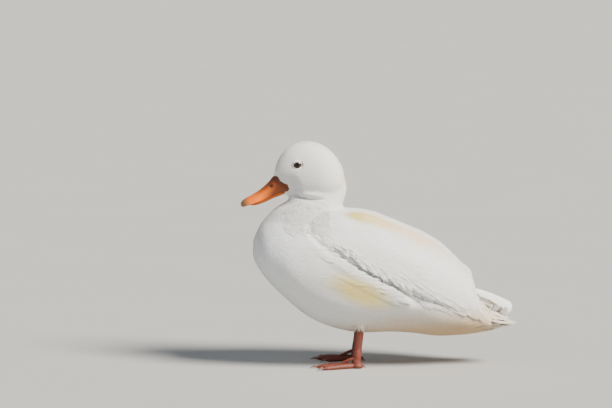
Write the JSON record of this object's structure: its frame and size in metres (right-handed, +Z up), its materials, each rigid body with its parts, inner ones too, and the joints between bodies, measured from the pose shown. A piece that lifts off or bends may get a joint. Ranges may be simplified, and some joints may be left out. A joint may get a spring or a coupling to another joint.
{
  "type": "duck",
  "caption": "Small white domestic drake with an orange bill and curled tail feathers, standing still with its neck drawn in.",
  "frame": {"origin": "under the middle of the bird's bounding box, at the level of the soles", "axes": "+X runs from the tail towards the bill, +Y is the bird's left side, +Z is up"},
  "size_m": [0.273, 0.1172, 0.2203],
  "materials": {
    "plumage": "soft matt white feathers with faint cream staining",
    "flight_feathers": "white vanes with a faint silky sheen",
    "bill": "orange horn, smooth and slightly waxy",
    "bill_nail": "olive brown horn",
    "eye": "wet dark brown",
    "leg_skin": "orange-red scaled skin",
    "claw": "dark horn"
  },
  "bodies": {
    "root": {"trunk": "plumage", "neck": "plumage", "head": "plumage", "bill_upper": "bill", "bill_lower": "bill", "bill_nail": "bill_nail", "tail": "flight_feathers", "tail_curl_1": "flight_feathers", "tail_curl_2": "flight_feathers", "tail_curl_3": "flight_feathers", "wing_left": "plumage", "primaries_left": "flight_feathers", "eye_left": "eye", "thigh_left": "plumage", "shank_left": "leg_skin", "foot_left": "leg_skin", "claw_inner_left": "claw", "claw_middle_left": "claw", "claw_outer_left": "claw", "claw_hind_left": "claw", "wing_right": "plumage", "primaries_right": "flight_feathers", "eye_right": "eye", "thigh_right": "plumage", "shank_right": "leg_skin", "foot_right": "leg_skin", "claw_inner_right": "claw", "claw_middle_right": "claw", "claw_outer_right": "claw", "claw_hind_right": "claw"}
  },
  "joints": []
}
